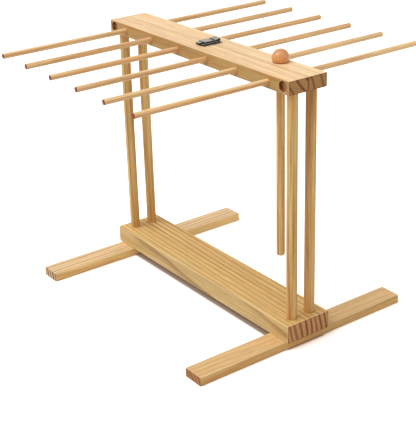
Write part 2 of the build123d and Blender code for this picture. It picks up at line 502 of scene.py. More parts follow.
def break_edges(bm: bmesh.types.BMesh, over_deg: float, width: float,
                wanted: Callable[[bmesh.types.BMEdge], bool]) -> list[bmesh.types.BMFace]:
    """Rounds the sharp edges of a closed mesh.

    Args:
        bm: The mesh.
        over_deg: The turn from which an edge is sharp.
        width: The width of the rounding.
        wanted: Says whether a sharp edge is to be rounded.

    Returns:
        The faces of the roundings.
    """
    sharp = [edge for edge in bm.edges if len(edge.link_faces) == 2
             and edge.calc_face_angle() > math.radians(over_deg) and wanted(edge)]
    made = bmesh.ops.bevel(bm, geom=sharp, offset=width, segments=BREAK_STEPS,
                           profile=ROUND_PROFILE, affect="EDGES", clamp_overlap=True)
    return made["faces"]


def lathe(name: str, profile: list[tuple[float, float]], centre: Vector,
          sides: int) -> bpy.types.Object:
    """Turns a profile about a vertical axis into a closed mesh.

    Args:
        name: The piece's name.
        profile: Radius and height of each point, from one pole to the other.
        centre: A point on the axis, from which heights count.
        sides: The number of faces round the axis.

    Returns:
        The turned piece.
    """
    bm = bmesh.new()
    rings = []
    for radius, height in profile:
        count = 1 if radius == 0 else sides
        turns = [2 * math.pi * k / sides for k in range(count)]
        rings.append([bm.verts.new((centre.x + radius * math.cos(t),
                                    centre.y + radius * math.sin(t),
                                    centre.z + height)) for t in turns])
    for below, above in zip(rings, rings[1:]):
        for k in range(sides):
            corners = [below[k % len(below)], below[(k + 1) % len(below)],
                       above[(k + 1) % len(above)], above[k % len(above)]]
            bm.faces.new(list(dict.fromkeys(corners)))
    bmesh.ops.recalc_face_normals(bm, faces=bm.faces)
    piece = from_bmesh(name, bm)
    shade(piece)
    return piece


# Finishes


@dataclass(frozen=True)
class Lie:
    """How a board was cut from its tree.

    Attributes:
        pith: Where the pith lies off the board's middle, in the two cross directions.
        lean: How far the pith drifts off for each metre along the fibres.
        seed: A number that sets the board apart from others.
        phase: A shift of the rings, as a share of one.
    """

    pith: tuple[float, float]
    lean: tuple[float, float]
    seed: float
    phase: float = 0.0


@dataclass(frozen=True)
class Grain:
    """How the fibres and rings run through a board.

    Attributes:
        axis: The direction that the fibres run in.
        centre: The board's middle.
        lie: How it was cut from its tree.
        half: Half its cross sizes, for the dark rim of its end grain, or None.
        contact_shade: The heights from which and up to which the lowest edge carries painted
            contact shade, or None.
    """

    axis: Axis
    centre: Vector
    lie: Lie
    half: tuple[float, float] | None = None
    contact_shade: tuple[float, float] | None = None


class Weave(Enum):
    """A noise drawn out along the fibres.

    Its values are a cycle's length along the fibres and its width across them, a shift along
    the fibres in cycles, the number of finer noises in it and the share of each of those.
    """

    BEND = (170 * MM, 26 * MM, 0.0, 1.5, 0.5)
    WAVE = (34 * MM, 5 * MM, 7.0, 2.0, 0.5)
    RAG = (9 * MM, 0.9 * MM, 3.0, 2.0, 0.5)
    STREAKS = (210 * MM, 4.5 * MM, 11.0, 3.0, 0.6)
    FIBRES = (60 * MM, 0.7 * MM, 5.0, 3.0, 0.65)
    HAIRS = (16 * MM, 0.28 * MM, 2.0, 2.0, 0.6)
    CANALS = (5.5 * MM, 0.36 * MM, 9.0, 0.0, 0.5)
    CLOUDS = (90 * MM, 22 * MM, 17.0, 2.0, 0.5)
    VEINS = (85 * MM, 1.9 * MM, 23.0, 1.5, 0.5)
    FLECKS = (15 * MM, 1.1 * MM, 29.0, 1.0, 0.5)
    CELLS = (1000 * MM, 0.35 * MM, 0.0, 2.0, 0.5)
    MOTTLE = (1000 * MM, 1.3 * MM, 0.0, 1.0, 0.5)


@dataclass(frozen=True)
class Softwood:
    """Planed or turned pine: growth rings, fibres, resin canals, end grain and eased edges.

    Attributes:
        pale: Earlywood on the long faces.
        warm: The darker broad streaks in it.
        late: The latewood lines.
        end_pale: Earlywood on end grain.
        end_late: Latewood on end grain.
        ring_pitch: The mean width of a growth ring.
        line_share: How strongly the latewood lines show on the long faces.
        line_start: The share of a ring at which its line begins.
        end_share: How strongly they show on end grain.
        streak: How strongly the broad streaks show.
        painted_side_light: What the faces to the left and right are multiplied by, as painted
            light and shade.
        band: The share of a ring that is latewood on end grain.
        edge: Wood on the eased edges, paler partly as sanded wood and partly as a painted
            highlight.
        edge_pale_and_highlight: How strongly the eased edges take that colour.
        vein: How strongly narrow veins lighten and darken the long faces.
        tint: What a stick that differs from the rest is multiplied by.
        variety: How far sticks differ.
        roughness: The mean roughness.
        gloss: The strength of the sheen.
        spread: The distance of the pith for sticks, whose place in the tree is random.
    """

    pale: Colour
    warm: Colour
    late: Colour
    end_pale: Colour
    end_late: Colour
    ring_pitch: float = 5.5 * MM
    line_share: float = 0.6
    line_start: float = 0.42
    end_share: float = 0.95
    streak: float = 0.7
    # Painted light and shade: a tone that makes the left and right faces darker or lighter than
    # the top.
    painted_side_light: Colour = (1.0, 1.0, 1.0, 1.0)
    band: float = 0.5
    edge: Colour = colour(250, 226, 182)
    edge_pale_and_highlight: float = 0.3
    vein: float = 0.5
    tint: Colour = (0.86, 0.74, 0.66, 1.0)
    variety: float = 0.5
    roughness: float = 0.52
    gloss: float = 0.22
    spread: float = 22 * MM

    def board(self, name: str, grain: Grain) -> bpy.types.Material:
        """The finish of one board."""
        return BoardTimber(name, self, grain).paint()

    def sticks(self, name: str, axis: Axis) -> bpy.types.Material:
        """The finish of a group of sticks, each with its own place in the tree."""
        return StickTimber(name, self, axis).paint()


class Timber(Surface):
    """A piece of wood in the making: its rings, its fibres and its faces.

    Attributes:
        ring_sway: How far each weave carries the rings off their circles.
        long_tone: How strongly each weave lightens and darkens the long faces.
        end_tone: The same on end grain.
        long_relief: How far each weave roughens the long faces.
        uneven_pace: How fast the width of the rings changes from ring to ring.
        uneven_share: How much it changes, in rings.
        ring_least: The strength of the faintest latewood, and of its band on end grain.
        line_full: The share of a ring at which its line is darkest.
        ring_close: The shares of a ring between which its latewood ends.
        streak_range: The weave's values between which the broad streaks come in.
        canal_range: The weave's values between which the resin canals come in.
        canal_part: The shares of a ring between which they come in.
        canal_share: How strongly they show.
        band_shares: Where the band on end grain begins and is full, as shares of the earlywood.
        ray_pace: The number of rays round the pith, and their change from ring to ring.
        ray_share: How strongly the rays lighten and darken the end grain.
        end_facing: How far a face turns to the fibres, between no end grain and all of it.
        painted_side_facing: The same for the faces to the left and right, which take the painted
            side light and shade.
        relief: The strength and the depth of the relief.
        line_relief: How far the latewood stands up.
        canal_relief: How far the canals sink in.
        roughening: What the fibres, the end grain and the latewood add to the roughness.
    """

    ring_sway = ((Weave.BEND, 5 * MM), (Weave.WAVE, 0.9 * MM), (Weave.RAG, 0.22 * MM))
    long_tone = ((Weave.FIBRES, 0.42), (Weave.HAIRS, 0.26), (Weave.CLOUDS, 0.2),
                 (Weave.FLECKS, 0.35))
    end_tone = ((Weave.CELLS, 0.8), (Weave.CLOUDS, 0.5), (Weave.MOTTLE, 0.7))
    long_relief = ((Weave.FIBRES, 1.0), (Weave.HAIRS, 0.5))
    uneven_pace = 0.45
    uneven_share = 0.6
    ring_least = (0.35, 0.4)
    line_full = 0.9
    ring_close = (0.93, 1.0)
    streak_range = (0.34, 0.68)
    canal_range = (0.71, 0.78)
    canal_part = (0.35, 0.6)
    canal_share = 0.45
    band_shares = (0.8, 1.1)
    ray_pace = (160, 0.4)
    ray_share = 0.4
    end_facing = (0.55, 0.8)
    painted_side_facing = (0.5, 0.8)
    relief = (0.35, 0.25 * MM)
    line_relief = 0.3
    canal_relief = 0.6
    roughening = (0.16, 0.2, -0.06)

    def __init__(self, name: str, wood: Softwood, axis: Axis) -> None:
        """Starts the material.

        Args:
            name: Its name.
            wood: The kind of wood.
            axis: The direction of the fibres.
        """
        super().__init__(name)
        self.wood = wood
        self.axis = axis
        self.woven: dict[Weave, Value] = {}

    def lay(self, middle: "Value | tuple", lean: tuple[Number, Number],
            pith: tuple[Number, Number], seed: Number, phase: float) -> None:
        """Lays the piece in its tree and grows the rings through it.

        Args:
            middle: The point from which the grain is measured.
            lean: How far the pith drifts off for each metre, in the two cross directions.
            pith: Where the pith lies off the middle, in the same directions.
            seed: A number that sets the piece apart from others.
            phase: A shift of the rings, as a share of one.
        """
        x, y, z = self.separate(self.vector("SUBTRACT", self.place(), middle))
        order = {Axis.X: (x, y, z), Axis.Y: (y, x, z), Axis.Z: (z, x, y)}
        along, self.across, self.up = order[self.axis]
        self.away = (self.across - along * lean[0] - pith[0], self.up - along * lean[1] - pith[1])
        self.along = along + seed
        self.grow(phase)

    def weave(self, kind: Weave) -> Value:
        """One of the noises, added to the tree when it is first asked for.

        Args:
            kind: Which of them.

        Returns:
            Its value, from 0 to 1.
        """
        length, width, shift, detail, share = kind.value
        if kind not in self.woven:
            place = self.combine(self.along / length + shift, self.across / width, self.up / width)
            self.woven[kind] = self.noise(place, detail, share)
        return self.woven[kind]

    def sway(self, *parts: tuple[Weave, float]) -> Value:
        """Adds up noises, each of which swings about zero by its amount."""
        terms = [(self.weave(kind) - 0.5) * amount for kind, amount in parts]
        return sum(terms[1:], terms[0])

    def toned(self, shown: Value, tone: "Value | Colour") -> Value:
        """A colour multiplied by another."""
        return self.mix(1.0, shown, tone, "MULTIPLY")

    def facing_share(self, axis: int, span: tuple[float, float]) -> Value:
        """How far a face looks along an axis, from 0 to 1 over a span of its normal."""
        normal = self.separate(self.facing())[axis]
        return self.step(self.math("ABSOLUTE", normal), *span)

    def latewood(self, start: float, full: float, least: float) -> Value:
        """The latewood of each ring.

        Args:
            start: The share of a ring at which it begins.
            full: The share of a ring at which it is darkest.
            least: How strong the faintest ring's is.

        Returns:
            Its strength, from 0 to 1.
        """
        shape = self.step(self.part, start, full) * (1 - self.step(self.part, *self.ring_close))
        return shape * (self.strength * (1 - least) + least)

    def grow(self, phase: float) -> None:
        """Grows the rings, with their latewood lines and resin canals, through the piece.

        Args:
            phase: A shift of the rings, as a share of one.
        """
        squares = self.away[0] * self.away[0] + self.away[1] * self.away[1]
        radius = self.math("SQRT", squares) + self.sway(*self.ring_sway)
        ring = radius / self.wood.ring_pitch + phase
        uneven = self.noise(self.combine(ring * self.uneven_pace, 0.0, 0.0), detail=1.0)
        self.ring = ring + uneven * self.uneven_share
        self.part = self.math("FRACT", self.ring)
        line_least, _ = self.ring_least
        chance = self.chance(self.math("FLOOR", self.ring) + 0.5)
        self.strength = chance * (1 - line_least) + line_least
        self.line = self.latewood(self.wood.line_start, self.line_full, 0.0)
        self.canals = (self.step(self.weave(Weave.CANALS), *self.canal_range)
                       * self.step(self.part, *self.canal_part))
        self.end = self.facing_share(self.axis.value, self.end_facing)

    def long_face(self) -> Value:
        """Colours the faces along the fibres, with streaks, latewood lines, canals and painted
        light and shade on the faces to the left and right.

        Returns:
            Their colour.
        """
        wood = self.wood
        streaks = self.step(self.weave(Weave.STREAKS), *self.streak_range) * wood.streak
        shown = self.mix(streaks, wood.pale, wood.warm)
        shown = self.mix(self.line * wood.line_share, shown, wood.late)
        shown = self.mix(self.canals * self.canal_share, shown, wood.late)
        tone = self.sway(*self.long_tone, (Weave.VEINS, wood.vein)) + 1.0
        shown = self.toned(shown, self.combine(tone, tone, tone))
        # Painted light and shade: faces to the left and right are multiplied by the wood's side
        # tone.
        side = self.facing_share(0 if self.axis is Axis.Y else 1, self.painted_side_facing)
        return self.mix(side, shown, self.toned(shown, wood.painted_side_light))

    def end_face(self) -> Value:
        """Colours the end grain, with its bands of latewood and its rays.

        Returns:
            Its colour.
        """
        early = 1 - self.wood.band
        start, full = self.band_shares
        _, band_least = self.ring_least
        band = self.latewood(start * early, full * early, band_least)
        shown = self.mix(band * self.wood.end_share, self.wood.end_pale, self.wood.end_late)
        round_pith, across_rings = self.ray_pace
        turn = self.math("ARCTAN2", *self.away) * round_pith
        rays = self.noise(self.combine(turn, self.ring * across_rings, 0.0), detail=1.0)
        tone = self.sway(*self.end_tone) + (rays - 0.5) * self.ray_share + 1.0
        return self.toned(shown, self.combine(tone, tone, tone))

    def all_faces(self) -> Value:
        """The colour of the whole piece."""
        return self.mix(self.end, self.long_face(), self.end_face())

    def paint(self) -> bpy.types.Material:
        """Adds the colour, the relief and the sheen.

        Returns:
            The finished material.
        """
        shown = self.all_faces()
        height = (self.sway(*self.long_relief) * (1 - self.end)
                  + self.sway((Weave.CELLS, 1.0)) * self.end
                  + self.line * self.line_relief - self.canals * self.canal_relief)
        fibres, end, line = self.roughening
        rough = (self.sway((Weave.FIBRES, fibres)) + self.end * end + self.line * line
                 + self.wood.roughness)
        return self.finish({
            "Base Color": shown, "Roughness": rough, "Specular IOR Level": self.wood.gloss,
            "Normal": self.bump(height, *self.relief)})


class BoardTimber(Timber):
    """One board, with its own eased edges, painted shade in its holes and painted contact shade
    along its lowest edge.

    Attributes:
        rim_sway: How far the dark rim of the end grain wanders.
        rim_range: The depths between which it fades.
        rim_share: How strongly it shows.
        hole_shade_share: How dark the painted shade on the walls of holes is.
        contact_shade_share: How dark the painted contact shade is.
    """

    rim_sway = 1.2 * MM
    rim_range = (0.2 * MM, 1.5 * MM)
    rim_share = 0.7
    hole_shade_share = 0.8
    contact_shade_share = 0.8

    def __init__(self, name: str, wood: Softwood, grain: Grain) -> None:
        """Lays the board in its tree.

        Args:
            name: The material's name.
            wood: The kind of wood.
            grain: How the fibres and rings run through the board.
        """
        super().__init__(name, wood, grain.axis)
        self.grain = grain
        lie = grain.lie
        self.lay(tuple(grain.centre), lie.lean, lie.pith, lie.seed, lie.phase)

    def end_face(self) -> Value:
        """Colours the end grain, with its dark rim.

        Returns:
            Its colour.
        """
        shown = super().end_face()
        if self.grain.half is None:
            return shown
        gaps = [half - self.math("ABSOLUTE", off)
                for half, off in zip(self.grain.half, (self.across, self.up))]
        rim = self.math("MINIMUM", *gaps) + self.sway((Weave.WAVE, self.rim_sway))
        # The end grain is darker towards its rim.
        near_rim = 1 - self.step(rim, *self.rim_range)
        return self.mix(near_rim * self.rim_share, shown, self.wood.end_late)

    def all_faces(self) -> Value:
        """Colours the whole board, with its edges, the painted shade on the walls of its holes and
        the painted contact shade along its lowest edge.

        Returns:
            Its colour.
        """
        wood = self.wood
        # Eased edges are lightened, partly as paler sanded wood and partly as a painted highlight.
        eased = self.attribute("eased") * wood.edge_pale_and_highlight * (1 - self.end)
        shown = self.mix(eased, super().all_faces(), wood.edge)
        # Painted shade: the walls of holes are darkened towards the latewood colour.
        shown = self.mix(self.attribute("hole_shade") * self.hole_shade_share, shown, wood.end_late)
        # Painted contact shade: the lowest band is darkened towards the latewood colour.
        if self.grain.contact_shade is None:
            return shown
        low = 1 - self.step(self.separate(self.place())[2], *self.grain.contact_shade)
        return self.mix(low * self.contact_shade_share, shown, wood.end_late)


class StickTimber(Timber):
    """A group of sticks, each with its own seed and so its own place in the tree.

    Attributes:
        turn_pace: How fast the pith's direction changes with the seed.
        lean_pace: How fast the pith's drift changes with it.
        lean_most: The largest drift for each metre.
    """

    turn_pace = 2.4
    lean_pace = 5.3
    lean_most = 0.02

    def __init__(self, name: str, wood: Softwood, axis: Axis) -> None:
        """Lays the sticks in their tree.

        Args:
            name: The material's name.
            wood: The kind of wood.
            axis: The direction of the sticks.
        """
        super().__init__(name, wood, axis)
        self.seed = self.attribute("stick_seed")
        turn = self.seed * self.turn_pace
        lean = self.math("SINE", self.seed * self.lean_pace) * self.lean_most
        pith = (self.math("COSINE", turn) * wood.spread, self.math("SINE", turn) * wood.spread)
        self.lay(self.attribute("stick_start", "Vector"), (lean, 0.0), pith, self.seed, 0.0)

    def long_face(self) -> Value:
        """Colours the faces along the fibres, a little differently from stick to stick.

        Returns:
            Their colour.
        """
        shown = super().long_face()
        lot = self.chance(self.seed) * self.wood.variety
        return self.mix(lot, shown, self.toned(shown, self.wood.tint))


@dataclass(frozen=True)
class BlackedSteel:
    """Blacked and oiled steel sheet and wire, worn bright on its edges, with a painted highlight
    on its upper faces.

    Attributes:
        black: The blacking.
        worn: The metal where it is worn, and the colour of the painted highlight.
        patch: The paler patches of the blacking.
        upper: How strongly the upper faces take the painted highlight.
        roughness: The mean roughness.
        metallic: How much of a metal it is.
        blotch: The size of the patches.
        speck: The size of the specks.
        scratch: The size of the scratches along x, y and z.
        scratch_range: The noise's values between which the scratches come in.
        worn_range: The noise's values between which the edges are worn.
        sheen_facing: How far a face looks up, between no painted highlight and the full one.
        patch_range: The noise's values between which the patches come in.
        worn_shares: How worn the edges and the scratches are.
        patch_share: How strongly the patches show.
        roughening: What patches, specks and wear add to the roughness.
        heights: How far specks stand up and scratches sink in.
        relief: The strength and the depth of the relief.
    """

    black: Colour
    worn: Colour
    patch: Colour = colour(70, 63, 62)
    upper: float = 0.48
    roughness: float = 0.34
    metallic: float = 0.85
    blotch: float = 3.5 * MM
    speck: float = 0.35 * MM
    scratch: tuple[float, float, float] = (0.16 * MM, 5 * MM, 0.3 * MM)
    scratch_range: tuple[float, float] = (0.62, 0.7)
    worn_range: tuple[float, float] = (0.2, 0.5)
    sheen_facing: tuple[float, float] = (0.6, 0.95)
    patch_range: tuple[float, float] = (0.45, 0.75)
    worn_shares: tuple[float, float] = (0.8, 0.2)
    patch_share: float = 0.35
    roughening: tuple[float, float, float] = (0.25, 0.1, -0.08)
    heights: tuple[float, float] = (0.6, -0.5)
    relief: tuple[float, float] = (0.25, 0.05 * MM)

    def dress(self, name: str) -> bpy.types.Material:
        """The finish of one piece of the latch.

        Args:
            name: The material's name.

        Returns:
            The material.
        """
        surface = Surface(name)
        point = surface.place()
        blotch = surface.noise(surface.scaled(point, 1 / self.blotch), detail=3.0, rough=0.6)
        speck = surface.noise(surface.scaled(point, 1 / self.speck)) - 0.5
        strokes = [part / size for part, size in zip(surface.separate(point), self.scratch)]
        scratch = surface.step(surface.noise(surface.combine(*strokes)), *self.scratch_range)
        edge = surface.attribute("eased") * surface.step(blotch, *self.worn_range)
        # Painted highlight: faces that look up take the pale worn colour, added to the real edge
        # wear and scratches.
        upper = surface.step(surface.separate(surface.facing())[2], *self.sheen_facing)
        worn = edge * self.worn_shares[0] + scratch * self.worn_shares[1] + upper * self.upper
        shown = surface.mix(worn, self.black, self.worn)
        patches = surface.step(blotch, *self.patch_range) * self.patch_share
        shown = surface.mix(patches, shown, self.patch)
        by_blotch, by_speck, by_wear = self.roughening
        rough = (blotch - 0.5) * by_blotch + speck * by_speck + worn * by_wear + self.roughness
        height = speck * self.heights[0] + scratch * self.heights[1]
        return surface.finish({
            "Base Color": shown, "Metallic": self.metallic, "Roughness": rough,
            "Normal": surface.bump(height, *self.relief)})


# The side tones paint light and shade on the long side faces: much darker on the rails, cooler on
# the base, warmer on the near foot, lighter and warmer on the far foot.
RAIL_PINE = Softwood(
    pale=colour(250, 220, 172), warm=colour(238, 188, 138), late=colour(210, 146, 98),
    end_pale=colour(190, 140, 86), end_late=colour(116, 56, 26), ring_pitch=11.5 * MM,
    line_share=0.32, streak=0.75, painted_side_light=(0.56, 0.46, 0.27, 1.0), band=0.22, edge_pale_and_highlight=0.12)
BASE_PINE = Softwood(
    pale=colour(228, 190, 122), warm=colour(204, 158, 90), late=colour(146, 90, 42),
    end_pale=colour(214, 160, 106), end_late=colour(142, 72, 36), ring_pitch=7.2 * MM,
    line_share=0.8, line_start=0.6, painted_side_light=(0.92, 0.97, 1.1, 1.0), band=0.42,
    edge_pale_and_highlight=0.5, vein=0.6)
FOOT_PINE = Softwood(
    pale=colour(229, 193, 137), warm=colour(210, 162, 101), late=colour(178, 120, 66),
    end_pale=colour(182, 128, 78), end_late=colour(126, 58, 30), ring_pitch=6 * MM,
    line_share=0.25, streak=0.5, painted_side_light=(1.08, 0.98, 0.78, 1.0), band=0.35, edge_pale_and_highlight=0.45,
    vein=0.5)
FAR_FOOT_PINE = replace(
    FOOT_PINE, pale=colour(246, 218, 170), warm=colour(224, 180, 128), late=colour(176, 116, 64),
    end_pale=colour(228, 182, 138), end_late=colour(64, 30, 16), line_share=0.75, streak=0.7,
    band=0.42, ring_pitch=6.6 * MM, painted_side_light=(1.32, 1.2, 0.86, 1.0))
POST_PINE = Softwood(
    pale=colour(244, 208, 138), warm=colour(204, 150, 84), late=colour(164, 104, 50),
    end_pale=colour(204, 154, 104), end_late=colour(146, 88, 52), ring_pitch=7 * MM,
    line_share=0.5, streak=1.0, vein=0.9, roughness=0.48)
ROD_WOOD = Softwood(
    pale=colour(254, 218, 162), warm=colour(242, 184, 122), late=colour(200, 134, 76),
    end_pale=colour(168, 92, 58), end_late=colour(118, 54, 34), ring_pitch=4 * MM,
    line_share=0.4, streak=0.85, roughness=0.44)
BALL_WOOD = Softwood(
    pale=colour(228, 160, 92), warm=colour(208, 140, 74), late=colour(178, 108, 58),
    end_pale=colour(216, 148, 90), end_late=colour(112, 54, 26), ring_pitch=3 * MM,
    line_share=0.12, end_share=0.12, streak=0.3, vein=0.2, roughness=0.28, gloss=0.7)
LATCH_STEEL = BlackedSteel(black=colour(28, 24, 23), worn=colour(222, 214, 196))
# A darker copy with little painted highlight for the pieces under the lever; the wire's copy has
# much painted highlight and paler patches.
INNER_STEEL = replace(LATCH_STEEL, upper=0.08, patch=colour(36, 32, 31))
WIRE_STEEL = replace(LATCH_STEEL, upper=0.9, patch=colour(120, 112, 106))


# Boards and sticks


@dataclass(frozen=True)
class Bore:
    """A round hole.

    Attributes:
        mouth: The middle of its mouth.
        way: The way it goes in.
        radius: Its radius.
        depth: Its depth.
        sides: The number of faces round it.
        overrun: How far its cutter stands out of the mouth.
    """

    mouth: Vector
    way: Vector
    radius: float
    depth: float
    sides: int = 48
    overrun: float = 1 * MM

    def cut(self, bm: bmesh.types.BMesh) -> None:
        """Adds the hole's cylinder to a mesh of cutters.

        Args:
            bm: The mesh of cutters.
        """
        length = self.depth + self.overrun
        turn = UP.rotation_difference(self.way).to_matrix().to_4x4()
        middle = self.mouth + self.way * (self.depth - self.overrun) / 2
        bmesh.ops.create_cone(bm, cap_ends=True, segments=self.sides, radius1=self.radius,
                              radius2=self.radius, depth=length,
                              matrix=Matrix.Translation(middle) @ turn)


@dataclass(frozen=True)
class Pocket:
    """A notch with square walls, by its lowest and highest corner."""

    low: Vector
    high: Vector

    def cut(self, bm: bmesh.types.BMesh) -> None:
        """Adds the notch's block to a mesh of cutters."""
        size = Matrix.Diagonal((*(self.high - self.low), 1))
        bmesh.ops.create_cube(bm, matrix=Matrix.Translation((self.low + self.high) / 2) @ size)


@dataclass
class Board:
    """A sawn board with eased edges, holes and softly broken rims.

    Attributes:
        name: Its name, which its piece and its finish carry.
        node: The solid that it stands for and takes its size from.
        ease_at: The rounding of an edge, from the direction in which the edge lies off the middle.
        cuts: Its holes and notches.
        rim: The width of the broken edge round each hole.
        rim_deg: The turn from which such an edge is broken.
        near: How near to an outer plane a corner still counts as in it.
        skin: How deep the eased edges and broken rims reach.
        ease_steps: The facets of an eased edge.
        flat: The part of a unit normal along an axis from which a face isn't slanted.
    """

    name: str
    node: str
    ease_at: Callable[[Vector], float]
    cuts: list[Bore | Pocket]
    rim: float = 0.3 * MM
    rim_deg: float = 60.0
    near: float = 0.005 * MM
    skin: float = 1.2 * MM
    ease_steps: int = 3
    flat: float = 0.995

    def __post_init__(self) -> None:
        """Takes the board's lowest and highest corner from its solid."""
        self.low, self.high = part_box(self.node)

    def blank(self) -> bpy.types.Object:
        """Saws the board and rounds its edges, each by its own width.

        Returns:
            The board without its holes.
        """
        middle = (self.low + self.high) / 2
        size = self.high - self.low
        bm = bmesh.new()
        bmesh.ops.create_cube(bm, matrix=Matrix.Translation(middle) @ Matrix.Diagonal((*size, 1)))
        eases = []
        for edge in bm.edges:
            off = (edge.verts[0].co + edge.verts[1].co) / 2 - middle
            way = Vector((off.x / size.x, off.y / size.y, off.z / size.z)) * 2
            eases.append(self.ease_at(way))
        widest = max(eases)
        weights = bm.edges.layers.float.new("bevel_weight_edge")
        for edge, ease in zip(bm.edges, eases):
            edge[weights] = ease / widest
        piece = from_bmesh(self.name + "_timber", bm)
        bevel = piece.modifiers.new("ease", "BEVEL")
        bevel.limit_method = "WEIGHT"
        bevel.width = widest
        bevel.segments = self.ease_steps
        settle(piece)
        return piece

    def drill(self, piece: bpy.types.Object) -> None:
        """Cuts the holes and notches.

        Args:
            piece: The board so far.
        """
        bm = bmesh.new()
        for cut in self.cuts:
            cut.cut(bm)
        cutter = from_bmesh(self.name + "_cutter", bm)
        boolean = piece.modifiers.new("drill", "BOOLEAN")
        boolean.object = cutter
        boolean.operation = "DIFFERENCE"
        boolean.solver = "EXACT"
        boolean.use_self = True
        settle(piece)
        bpy.data.objects.remove(cutter)

    def depth_of(self, point: Vector) -> float:
        """How far a point lies off the nearest of the board's six outer planes."""
        return min(min(abs(point[k] - self.low[k]), abs(point[k] - self.high[k]))
                   for k in range(3))

    def break_rims(self, piece: bpy.types.Object) -> None:
        """Breaks the sharp edges that lie in the outer faces.

        Args:
            piece: The board so far.
        """
        bm = bmesh.new()
        bm.from_mesh(piece.data)
        bmesh.ops.remove_doubles(bm, verts=bm.verts, dist=WELD)
        break_edges(bm, self.rim_deg, self.rim,
                    lambda edge: all(self.depth_of(v.co) < self.near for v in edge.verts))
        bm.to_mesh(piece.data)
        bm.free()

    def mark_faces(self, piece: bpy.types.Object) -> None:
        """Marks slanted faces near the skin in the attribute eased, walls of holes in hole_shade
        for painted shade.

        Args:
            piece: The board so far.
        """
        mesh = piece.data
        eased = mesh.attributes.new("eased", "FLOAT", "FACE")
        hole_shade = mesh.attributes.new("hole_shade", "FLOAT", "FACE")
        for polygon in mesh.polygons:
            slanted = max(abs(c) for c in polygon.normal) <= self.flat
            deep = self.depth_of(polygon.center) > self.skin
            eased.data[polygon.index].value = float(slanted and not deep)
            hole_shade.data[polygon.index].value = float(slanted and deep)

    def make(self) -> bpy.types.Object:
        """Builds the board.

        Returns:
            The finished mesh, without its wood.
        """
        piece = self.blank()
        if self.cuts:
            self.drill(piece)
        self.break_rims(piece)
        self.mark_faces(piece)
        shade(piece)
        return piece

    def ride(self, body: str, wood: Softwood, axis: Axis, lie: Lie,
             contact_shade: float | None = None) -> None:
        """Builds the board, gives it its wood and rides it on its body.

        Args:
            body: The body that carries it.
            wood: The kind of wood.
            axis: The direction of its fibres.
            lie: How it was cut from its tree.
            contact_shade: The height of the lowest band that carries painted contact shade, or
                None.
        """
        piece = self.make()
        half = (self.high - self.low) / 2
        across = half.y if axis is Axis.X else half.x
        contact_band = None if contact_shade is None else (self.low.z, self.low.z + contact_shade)
        grain = Grain(axis, (self.low + self.high) / 2, lie, (across, half.z), contact_band)
        piece.data.materials.append(wood.board("pine_" + self.name, grain))
        place_piece(piece, body, "pine_board", self.node)


@dataclass(frozen=True)
class Sticks:
    """Rows of like sticks.

    Attributes:
        name: The piece's name.
        radius: A stick's radius.
        length: Its length.
        ease: The rounding of its ends.
        start: The foot of the first stick's axis.
        row: The number of sticks in a row.
        row_step: The way from one stick of a row to the next.
        seed: What each stick's place in its tree is drawn from.
        rows: The number of rows.
        next_step: The way from one row to the next.
        turn: How each stick is turned out of the upright.
    """

    name: str
    radius: float
    length: float
    ease: float
    start: Vector
    row: int
    row_step: Vector
    seed: int
    rows: int = 1
    next_step: Vector = Vector((0, 0, 0)).freeze()
    turn: Vector = Vector((0, 0, 0)).freeze()


